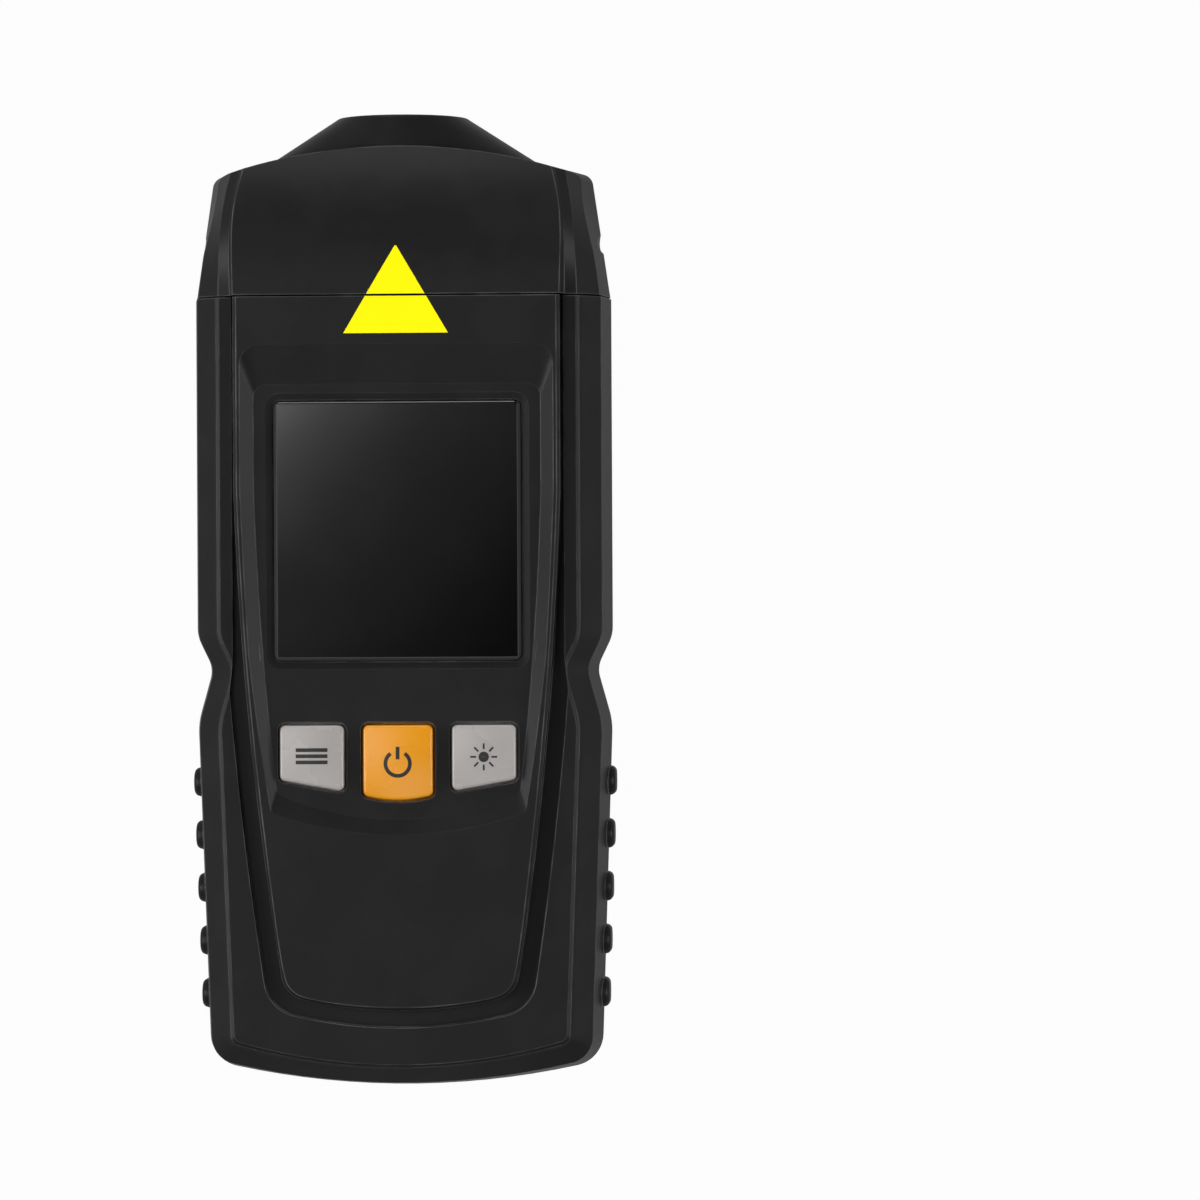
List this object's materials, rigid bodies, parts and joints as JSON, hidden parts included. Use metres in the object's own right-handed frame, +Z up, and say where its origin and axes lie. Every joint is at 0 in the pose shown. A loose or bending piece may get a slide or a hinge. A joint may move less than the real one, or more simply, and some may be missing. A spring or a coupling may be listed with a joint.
{
  "type": "handheld tachometer",
  "caption": "Handheld optical tachometer with a charcoal waisted housing, large dark display window, a row of keys, grip pads and a conical nose for its light beam.",
  "frame": {"origin": "middle of the flat back, in the plane that it rests on, under the centre of its outline", "axes": "+Z up out of the display face, +Y along the length towards the nose, +X across the width to the right of the display"},
  "size_m": [0.07, 0.16, 0.037],
  "materials": {
    "housing": "satin charcoal moulded plastic",
    "window": "polished smoked plastic, almost black",
    "key_grey": "satin light grey plastic",
    "key_orange": "satin orange plastic",
    "display_glass": "clear glass over a grey-green display",
    "inner_plastic": "plain moulded plastic",
    "optics_plastic": "matt black plastic",
    "mat_rubber": "soft grey silicone rubber",
    "foam": "black foam",
    "board": "green laminate with solder mask",
    "chip": "black moulded package",
    "can_metal": "plain nickel-plated metal",
    "battery_jacket": "dark printed steel jacket, left bare",
    "brass": "turned brass",
    "lens_glass": "clear polished lens",
    "ring_metal": "dark anodised",
    "screw_steel": "zinc-plated steel"
  },
  "bodies": {
    "housing": {"front_shell": "housing", "rear_shell": "housing", "head_cap": "housing", "lcd_window": "window", "lcd_glass": "display_glass", "lcd_frame": "inner_plastic", "contact_strips": "mat_rubber", "main_board": "board", "sensor_board": "board", "controller_chip": "chip", "timing_crystal": "can_metal", "key_mat": "mat_rubber", "battery": "battery_jacket", "battery_snap": "chip", "battery_pad": "foam", "optics_holder": "optics_plastic", "laser_module": "brass", "receiving_lens": "lens_glass", "lens_ring": "ring_metal", "photodiode": "optics_plastic", "case_screws": "screw_steel", "board_screws": "screw_steel", "optics_screws": "screw_steel"},
    "memory_key": {"memory_key": "key_grey"},
    "power_key": {"power_key": "key_orange"},
    "laser_key": {"laser_key": "key_grey"},
    "battery_door": {"battery_door": "housing"}
  },
  "joints": [
    {"name": "memory_press", "type": "slide", "parent": "housing", "child": "memory_key", "axis": [0, 0, -1], "range_m": [0, 0.0006], "stiffness_N_per_m": 400},
    {"name": "power_press", "type": "slide", "parent": "housing", "child": "power_key", "axis": [0, 0, -1], "range_m": [0, 0.0006], "stiffness_N_per_m": 400},
    {"name": "laser_press", "type": "slide", "parent": "housing", "child": "laser_key", "axis": [0, 0, -1], "range_m": [0, 0.0006], "stiffness_N_per_m": 400},
    {"name": "door_slide", "type": "slide", "parent": "housing", "child": "battery_door", "axis": [0, -1, 0], "range_m": [0, 0.05]}
  ]
}
